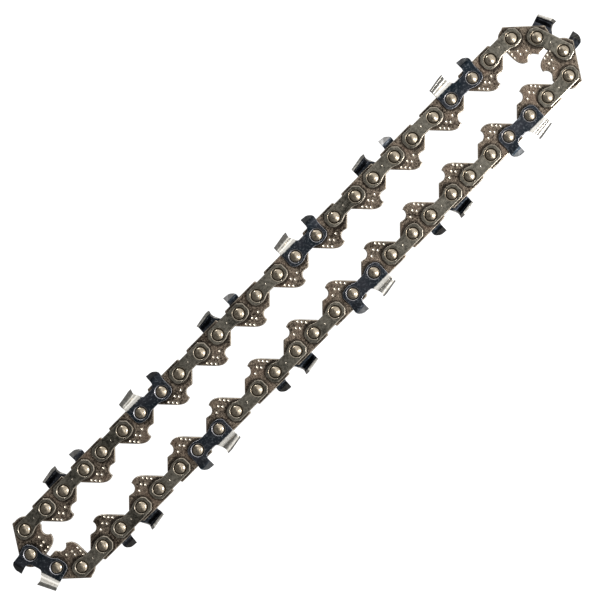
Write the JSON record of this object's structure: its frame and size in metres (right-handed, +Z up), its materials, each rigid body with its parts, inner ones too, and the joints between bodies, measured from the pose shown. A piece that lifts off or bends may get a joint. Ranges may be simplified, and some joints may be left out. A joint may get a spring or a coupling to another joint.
{
  "type": "chainsaw chain",
  "caption": "Low-profile saw chain in a closed loop: grooved drive links with pointed tangs, riveted tie straps, and left and right chisel cutters with depth gauges.",
  "frame": {"origin": "middle of the loop, on the plane that the chain lies on", "axes": "+X along the two strands, the way that the strand on the +Y side travels; +Y across the loop; +Z up, through the flat-lying chain, to the right-hand side of the travel"},
  "size_m": [0.263, 0.039, 0.0064],
  "materials": {
    "drive": "dark oiled steel, satin",
    "strap": "gunmetal, satin",
    "cutter": "blued side plate, hard chrome on the tooth",
    "rivet": "peened, pale and slightly warm"
  },
  "bodies": {
    "joining_strap_link": {"joining_strap_right": "strap", "joining_strap_left": "strap", "joining_rivet_rear": "rivet", "joining_rivet_front": "rivet"},
    "drive_link_02": {"drive_link_02": "drive"},
    "left_cutter_link_02": {"left_cutter_link_02": "cutter"},
    "drive_link_03": {"drive_link_03": "drive"},
    "strap_link_03": {"strap_link_03": "strap"},
    "drive_link_04": {"drive_link_04": "drive"},
    "right_cutter_link_04": {"right_cutter_04": "cutter", "riveted_strap_04": "strap"},
    "drive_link_05": {"drive_link_05": "drive"},
    "strap_link_05": {"strap_link_05": "strap"},
    "drive_link_06": {"drive_link_06": "drive"},
    "left_cutter_link_06": {"left_cutter_link_06": "cutter"},
    "drive_link_07": {"drive_link_07": "drive"},
    "strap_link_07": {"strap_link_07": "strap"},
    "drive_link_08": {"drive_link_08": "drive"},
    "right_cutter_link_08": {"right_cutter_link_08": "cutter"},
    "drive_link_09": {"drive_link_09": "drive"},
    "strap_link_09": {"strap_link_09": "strap"},
    "drive_link_10": {"drive_link_10": "drive"},
    "left_cutter_link_10": {"left_cutter_link_10": "cutter"},
    "drive_link_11": {"drive_link_11": "drive"},
    "strap_link_11": {"strap_link_11": "strap"},
    "drive_link_12": {"drive_link_12": "drive"},
    "right_cutter_link_12": {"right_cutter_link_12": "cutter"},
    "drive_link_13": {"drive_link_13": "drive"},
    "strap_link_13": {"strap_link_13": "strap"},
    "drive_link_14": {"drive_link_14": "drive"},
    "left_cutter_link_14": {"left_cutter_link_14": "cutter"},
    "drive_link_15": {"drive_link_15": "drive"},
    "strap_link_15": {"strap_link_15": "strap"},
    "drive_link_16": {"drive_link_16": "drive"},
    "right_cutter_link_16": {"right_cutter_link_16": "cutter"},
    "drive_link_17": {"drive_link_17": "drive"},
    "strap_link_17": {"strap_link_17": "strap"},
    "drive_link_18": {"drive_link_18": "drive"},
    "left_cutter_link_18": {"left_cutter_link_18": "cutter"},
    "drive_link_19": {"drive_link_19": "drive"},
    "strap_link_19": {"strap_link_19": "strap"},
    "drive_link_20": {"drive_link_20": "drive"},
    "right_cutter_link_20": {"right_cutter_link_20": "cutter"},
    "drive_link_21": {"drive_link_21": "drive"},
    "strap_link_21": {"strap_link_21": "strap"},
    "drive_link_22": {"drive_link_22": "drive"},
    "left_cutter_link_22": {"left_cutter_link_22": "cutter"},
    "drive_link_23": {"drive_link_23": "drive"},
    "strap_link_23": {"strap_link_23": "strap"},
    "drive_link_24": {"drive_link_24": "drive"},
    "right_cutter_link_24": {"right_cutter_link_24": "cutter"},
    "drive_link_25": {"drive_link_25": "drive"},
    "strap_link_25": {"strap_link_25": "strap"},
    "drive_link_26": {"drive_link_26": "drive"},
    "left_cutter_link_26": {"left_cutter_link_26": "cutter"},
    "drive_link_27": {"drive_link_27": "drive"},
    "strap_link_27": {"strap_link_27": "strap"},
    "drive_link_28": {"drive_link_28": "drive"},
    "right_cutter_link_28": {"right_cutter_link_28": "cutter"},
    "drive_link_01": {"drive_link_01": "drive"}
  },
  "joints": [
    {"name": "pivot_02", "type": "hinge", "parent": "joining_strap_link", "child": "drive_link_02", "pos_m": [-0.10917, 0.01131, 0.0032], "axis": [0, 0, 1], "range_deg": [-6.36, 0]},
    {"name": "pivot_03", "type": "hinge", "parent": "drive_link_02", "child": "left_cutter_link_02", "pos_m": [-0.10059, 0.01131, 0.0032], "axis": [0, 0, 1], "range_deg": [-6.36, 0]},
    {"name": "pivot_04", "type": "hinge", "parent": "left_cutter_link_02", "child": "drive_link_03", "pos_m": [-0.09053, 0.01131, 0.0032], "axis": [0, 0, 1], "range_deg": [-6.36, 0]},
    {"name": "pivot_05", "type": "hinge", "parent": "drive_link_03", "child": "strap_link_03", "pos_m": [-0.08195, 0.01131, 0.0032], "axis": [0, 0, 1], "range_deg": [-6.36, 0]},
    {"name": "pivot_06", "type": "hinge", "parent": "strap_link_03", "child": "drive_link_04", "pos_m": [-0.07189, 0.01131, 0.0032], "axis": [0, 0, 1], "range_deg": [-6.36, 0]},
    {"name": "pivot_07", "type": "hinge", "parent": "drive_link_04", "child": "right_cutter_link_04", "pos_m": [-0.06331, 0.01131, 0.0032], "axis": [0, 0, 1], "range_deg": [-6.36, 0]},
    {"name": "pivot_08", "type": "hinge", "parent": "right_cutter_link_04", "child": "drive_link_05", "pos_m": [-0.05325, 0.01131, 0.0032], "axis": [0, 0, 1], "range_deg": [-6.36, 0]},
    {"name": "pivot_09", "type": "hinge", "parent": "drive_link_05", "child": "strap_link_05", "pos_m": [-0.04467, 0.01131, 0.0032], "axis": [0, 0, 1], "range_deg": [-6.36, 0]},
    {"name": "pivot_10", "type": "hinge", "parent": "strap_link_05", "child": "drive_link_06", "pos_m": [-0.03461, 0.01131, 0.0032], "axis": [0, 0, 1], "range_deg": [-6.36, 0]},
    {"name": "pivot_11", "type": "hinge", "parent": "drive_link_06", "child": "left_cutter_link_06", "pos_m": [-0.02603, 0.01131, 0.0032], "axis": [0, 0, 1], "range_deg": [-6.36, 0]},
    {"name": "pivot_12", "type": "hinge", "parent": "left_cutter_link_06", "child": "drive_link_07", "pos_m": [-0.01597, 0.01131, 0.0032], "axis": [0, 0, 1], "range_deg": [-6.36, 0]},
    {"name": "pivot_13", "type": "hinge", "parent": "drive_link_07", "child": "strap_link_07", "pos_m": [-0.00739, 0.01131, 0.0032], "axis": [0, 0, 1], "range_deg": [-6.36, 0]},
    {"name": "pivot_14", "type": "hinge", "parent": "strap_link_07", "child": "drive_link_08", "pos_m": [0.00267, 0.01131, 0.0032], "axis": [0, 0, 1], "range_deg": [-6.36, 0]},
    {"name": "pivot_15", "type": "hinge", "parent": "drive_link_08", "child": "right_cutter_link_08", "pos_m": [0.01125, 0.01131, 0.0032], "axis": [0, 0, 1], "range_deg": [-6.36, 0]},
    {"name": "pivot_16", "type": "hinge", "parent": "right_cutter_link_08", "child": "drive_link_09", "pos_m": [0.02131, 0.01131, 0.0032], "axis": [0, 0, 1], "range_deg": [-6.36, 0]},
    {"name": "pivot_17", "type": "hinge", "parent": "drive_link_09", "child": "strap_link_09", "pos_m": [0.02989, 0.01131, 0.0032], "axis": [0, 0, 1], "range_deg": [-6.36, 0]},
    {"name": "pivot_18", "type": "hinge", "parent": "strap_link_09", "child": "drive_link_10", "pos_m": [0.03995, 0.01131, 0.0032], "axis": [0, 0, 1], "range_deg": [-6.36, 0]},
    {"name": "pivot_19", "type": "hinge", "parent": "drive_link_10", "child": "left_cutter_link_10", "pos_m": [0.04853, 0.01131, 0.0032], "axis": [0, 0, 1], "range_deg": [-6.36, 0]},
    {"name": "pivot_20", "type": "hinge", "parent": "left_cutter_link_10", "child": "drive_link_11", "pos_m": [0.05859, 0.01131, 0.0032], "axis": [0, 0, 1], "range_deg": [-6.36, 0]},
    {"name": "pivot_21", "type": "hinge", "parent": "drive_link_11", "child": "strap_link_11", "pos_m": [0.06717, 0.01131, 0.0032], "axis": [0, 0, 1], "range_deg": [-6.36, 0]},
    {"name": "pivot_22", "type": "hinge", "parent": "strap_link_11", "child": "drive_link_12", "pos_m": [0.07723, 0.01131, 0.0032], "axis": [0, 0, 1], "range_deg": [-6.36, 0]},
    {"name": "pivot_23", "type": "hinge", "parent": "drive_link_12", "child": "right_cutter_link_12", "pos_m": [0.08581, 0.01131, 0.0032], "axis": [0, 0, 1], "range_deg": [-6.36, 0]},
    {"name": "pivot_24", "type": "hinge", "parent": "right_cutter_link_12", "child": "drive_link_13", "pos_m": [0.09587, 0.01131, 0.0032], "axis": [0, 0, 1], "range_deg": [-6.36, 0]},
    {"name": "pivot_25", "type": "hinge", "parent": "drive_link_13", "child": "strap_link_13", "pos_m": [0.10445, 0.01131, 0.0032], "axis": [0, 0, 1], "range_deg": [-6.36, 0]},
    {"name": "pivot_26", "type": "hinge", "parent": "strap_link_13", "child": "drive_link_14", "pos_m": [0.11451, 0.01131, 0.0032], "axis": [0, 0, 1], "range_deg": [0, 36.16]},
    {"name": "pivot_27", "type": "hinge", "parent": "drive_link_14", "child": "left_cutter_link_14", "pos_m": [0.12079, 0.00546, 0.0032], "axis": [0, 0, 1], "range_deg": [0, 22.32]},
    {"name": "pivot_28", "type": "hinge", "parent": "left_cutter_link_14", "child": "drive_link_15", "pos_m": [0.1239, -0.00411, 0.0032], "axis": [0, 0, 1], "range_deg": [0, 44.07]},
    {"name": "pivot_29", "type": "hinge", "parent": "drive_link_15", "child": "strap_link_15", "pos_m": [0.11923, -0.01131, 0.0032], "axis": [0, 0, 1], "range_deg": [0, 50]},
    {"name": "pivot_01", "type": "hinge", "parent": "joining_strap_link", "child": "drive_link_01", "pos_m": [-0.11923, 0.01131, 0.0032], "axis": [0, 0, 1], "range_deg": [-50, 0]},
    {"name": "pivot_00", "type": "hinge", "parent": "drive_link_01", "child": "right_cutter_link_28", "pos_m": [-0.1239, 0.00411, 0.0032], "axis": [0, 0, 1], "range_deg": [-44.07, 0]},
    {"name": "pivot_55", "type": "hinge", "parent": "right_cutter_link_28", "child": "drive_link_28", "pos_m": [-0.12079, -0.00546, 0.0032], "axis": [0, 0, 1], "range_deg": [-22.32, 0]},
    {"name": "pivot_54", "type": "hinge", "parent": "drive_link_28", "child": "strap_link_27", "pos_m": [-0.11451, -0.01131, 0.0032], "axis": [0, 0, 1], "range_deg": [-36.16, 0]},
    {"name": "pivot_53", "type": "hinge", "parent": "strap_link_27", "child": "drive_link_27", "pos_m": [-0.10445, -0.01131, 0.0032], "axis": [0, 0, 1], "range_deg": [0, 6.36]},
    {"name": "pivot_52", "type": "hinge", "parent": "drive_link_27", "child": "left_cutter_link_26", "pos_m": [-0.09587, -0.01131, 0.0032], "axis": [0, 0, 1], "range_deg": [0, 6.36]},
    {"name": "pivot_51", "type": "hinge", "parent": "left_cutter_link_26", "child": "drive_link_26", "pos_m": [-0.08581, -0.01131, 0.0032], "axis": [0, 0, 1], "range_deg": [0, 6.36]},
    {"name": "pivot_50", "type": "hinge", "parent": "drive_link_26", "child": "strap_link_25", "pos_m": [-0.07723, -0.01131, 0.0032], "axis": [0, 0, 1], "range_deg": [0, 6.36]},
    {"name": "pivot_49", "type": "hinge", "parent": "strap_link_25", "child": "drive_link_25", "pos_m": [-0.06717, -0.01131, 0.0032], "axis": [0, 0, 1], "range_deg": [0, 6.36]},
    {"name": "pivot_48", "type": "hinge", "parent": "drive_link_25", "child": "right_cutter_link_24", "pos_m": [-0.05859, -0.01131, 0.0032], "axis": [0, 0, 1], "range_deg": [0, 6.36]},
    {"name": "pivot_47", "type": "hinge", "parent": "right_cutter_link_24", "child": "drive_link_24", "pos_m": [-0.04853, -0.01131, 0.0032], "axis": [0, 0, 1], "range_deg": [0, 6.36]},
    {"name": "pivot_46", "type": "hinge", "parent": "drive_link_24", "child": "strap_link_23", "pos_m": [-0.03995, -0.01131, 0.0032], "axis": [0, 0, 1], "range_deg": [0, 6.36]},
    {"name": "pivot_45", "type": "hinge", "parent": "strap_link_23", "child": "drive_link_23", "pos_m": [-0.02989, -0.01131, 0.0032], "axis": [0, 0, 1], "range_deg": [0, 6.36]},
    {"name": "pivot_44", "type": "hinge", "parent": "drive_link_23", "child": "left_cutter_link_22", "pos_m": [-0.02131, -0.01131, 0.0032], "axis": [0, 0, 1], "range_deg": [0, 6.36]},
    {"name": "pivot_43", "type": "hinge", "parent": "left_cutter_link_22", "child": "drive_link_22", "pos_m": [-0.01125, -0.01131, 0.0032], "axis": [0, 0, 1], "range_deg": [0, 6.36]},
    {"name": "pivot_42", "type": "hinge", "parent": "drive_link_22", "child": "strap_link_21", "pos_m": [-0.00267, -0.01131, 0.0032], "axis": [0, 0, 1], "range_deg": [0, 6.36]},
    {"name": "pivot_41", "type": "hinge", "parent": "strap_link_21", "child": "drive_link_21", "pos_m": [0.00739, -0.01131, 0.0032], "axis": [0, 0, 1], "range_deg": [0, 6.36]},
    {"name": "pivot_40", "type": "hinge", "parent": "drive_link_21", "child": "right_cutter_link_20", "pos_m": [0.01597, -0.01131, 0.0032], "axis": [0, 0, 1], "range_deg": [0, 6.36]},
    {"name": "pivot_39", "type": "hinge", "parent": "right_cutter_link_20", "child": "drive_link_20", "pos_m": [0.02603, -0.01131, 0.0032], "axis": [0, 0, 1], "range_deg": [0, 6.36]},
    {"name": "pivot_38", "type": "hinge", "parent": "drive_link_20", "child": "strap_link_19", "pos_m": [0.03461, -0.01131, 0.0032], "axis": [0, 0, 1], "range_deg": [0, 6.36]},
    {"name": "pivot_37", "type": "hinge", "parent": "strap_link_19", "child": "drive_link_19", "pos_m": [0.04467, -0.01131, 0.0032], "axis": [0, 0, 1], "range_deg": [0, 6.36]},
    {"name": "pivot_36", "type": "hinge", "parent": "drive_link_19", "child": "left_cutter_link_18", "pos_m": [0.05325, -0.01131, 0.0032], "axis": [0, 0, 1], "range_deg": [0, 6.36]},
    {"name": "pivot_35", "type": "hinge", "parent": "left_cutter_link_18", "child": "drive_link_18", "pos_m": [0.06331, -0.01131, 0.0032], "axis": [0, 0, 1], "range_deg": [0, 6.36]},
    {"name": "pivot_34", "type": "hinge", "parent": "drive_link_18", "child": "strap_link_17", "pos_m": [0.07189, -0.01131, 0.0032], "axis": [0, 0, 1], "range_deg": [0, 6.36]},
    {"name": "pivot_33", "type": "hinge", "parent": "strap_link_17", "child": "drive_link_17", "pos_m": [0.08195, -0.01131, 0.0032], "axis": [0, 0, 1], "range_deg": [0, 6.36]},
    {"name": "pivot_32", "type": "hinge", "parent": "drive_link_17", "child": "right_cutter_link_16", "pos_m": [0.09053, -0.01131, 0.0032], "axis": [0, 0, 1], "range_deg": [0, 6.36]},
    {"name": "pivot_31", "type": "hinge", "parent": "right_cutter_link_16", "child": "drive_link_16", "pos_m": [0.10059, -0.01131, 0.0032], "axis": [0, 0, 1], "range_deg": [0, 6.36]}
  ],
  "couplings": [
    {"joint": "pivot_02", "follows": "pivot_29", "ratio": -0.12712},
    {"joint": "pivot_03", "follows": "pivot_29", "ratio": -0.12712},
    {"joint": "pivot_04", "follows": "pivot_29", "ratio": -0.12712},
    {"joint": "pivot_05", "follows": "pivot_29", "ratio": -0.12712},
    {"joint": "pivot_06", "follows": "pivot_29", "ratio": -0.12712},
    {"joint": "pivot_07", "follows": "pivot_29", "ratio": -0.12712},
    {"joint": "pivot_08", "follows": "pivot_29", "ratio": -0.12712},
    {"joint": "pivot_09", "follows": "pivot_29", "ratio": -0.12712},
    {"joint": "pivot_10", "follows": "pivot_29", "ratio": -0.12712},
    {"joint": "pivot_11", "follows": "pivot_29", "ratio": -0.12712},
    {"joint": "pivot_12", "follows": "pivot_29", "ratio": -0.12712},
    {"joint": "pivot_13", "follows": "pivot_29", "ratio": -0.12712},
    {"joint": "pivot_14", "follows": "pivot_29", "ratio": -0.12712},
    {"joint": "pivot_15", "follows": "pivot_29", "ratio": -0.12712},
    {"joint": "pivot_16", "follows": "pivot_29", "ratio": -0.12712},
    {"joint": "pivot_17", "follows": "pivot_29", "ratio": -0.12712},
    {"joint": "pivot_18", "follows": "pivot_29", "ratio": -0.12712},
    {"joint": "pivot_19", "follows": "pivot_29", "ratio": -0.12712},
    {"joint": "pivot_20", "follows": "pivot_29", "ratio": -0.12712},
    {"joint": "pivot_21", "follows": "pivot_29", "ratio": -0.12712},
    {"joint": "pivot_22", "follows": "pivot_29", "ratio": -0.12712},
    {"joint": "pivot_23", "follows": "pivot_29", "ratio": -0.12712},
    {"joint": "pivot_24", "follows": "pivot_29", "ratio": -0.12712},
    {"joint": "pivot_25", "follows": "pivot_29", "ratio": -0.12712},
    {"joint": "pivot_26", "follows": "pivot_29", "ratio": 0.72316},
    {"joint": "pivot_27", "follows": "pivot_29", "ratio": 0.44633},
    {"joint": "pivot_28", "follows": "pivot_29", "ratio": 0.88136},
    {"joint": "pivot_01", "follows": "pivot_29", "ratio": -1},
    {"joint": "pivot_00", "follows": "pivot_29", "ratio": -0.88136},
    {"joint": "pivot_55", "follows": "pivot_29", "ratio": -0.44633},
    {"joint": "pivot_54", "follows": "pivot_29", "ratio": -0.72316},
    {"joint": "pivot_53", "follows": "pivot_29", "ratio": 0.12712},
    {"joint": "pivot_52", "follows": "pivot_29", "ratio": 0.12712},
    {"joint": "pivot_51", "follows": "pivot_29", "ratio": 0.12712},
    {"joint": "pivot_50", "follows": "pivot_29", "ratio": 0.12712},
    {"joint": "pivot_49", "follows": "pivot_29", "ratio": 0.12712},
    {"joint": "pivot_48", "follows": "pivot_29", "ratio": 0.12712},
    {"joint": "pivot_47", "follows": "pivot_29", "ratio": 0.12712},
    {"joint": "pivot_46", "follows": "pivot_29", "ratio": 0.12712},
    {"joint": "pivot_45", "follows": "pivot_29", "ratio": 0.12712},
    {"joint": "pivot_44", "follows": "pivot_29", "ratio": 0.12712},
    {"joint": "pivot_43", "follows": "pivot_29", "ratio": 0.12712},
    {"joint": "pivot_42", "follows": "pivot_29", "ratio": 0.12712},
    {"joint": "pivot_41", "follows": "pivot_29", "ratio": 0.12712},
    {"joint": "pivot_40", "follows": "pivot_29", "ratio": 0.12712},
    {"joint": "pivot_39", "follows": "pivot_29", "ratio": 0.12712},
    {"joint": "pivot_38", "follows": "pivot_29", "ratio": 0.12712},
    {"joint": "pivot_37", "follows": "pivot_29", "ratio": 0.12712},
    {"joint": "pivot_36", "follows": "pivot_29", "ratio": 0.12712},
    {"joint": "pivot_35", "follows": "pivot_29", "ratio": 0.12712},
    {"joint": "pivot_34", "follows": "pivot_29", "ratio": 0.12712},
    {"joint": "pivot_33", "follows": "pivot_29", "ratio": 0.12712},
    {"joint": "pivot_32", "follows": "pivot_29", "ratio": 0.12712},
    {"joint": "pivot_31", "follows": "pivot_29", "ratio": 0.12712}
  ]
}
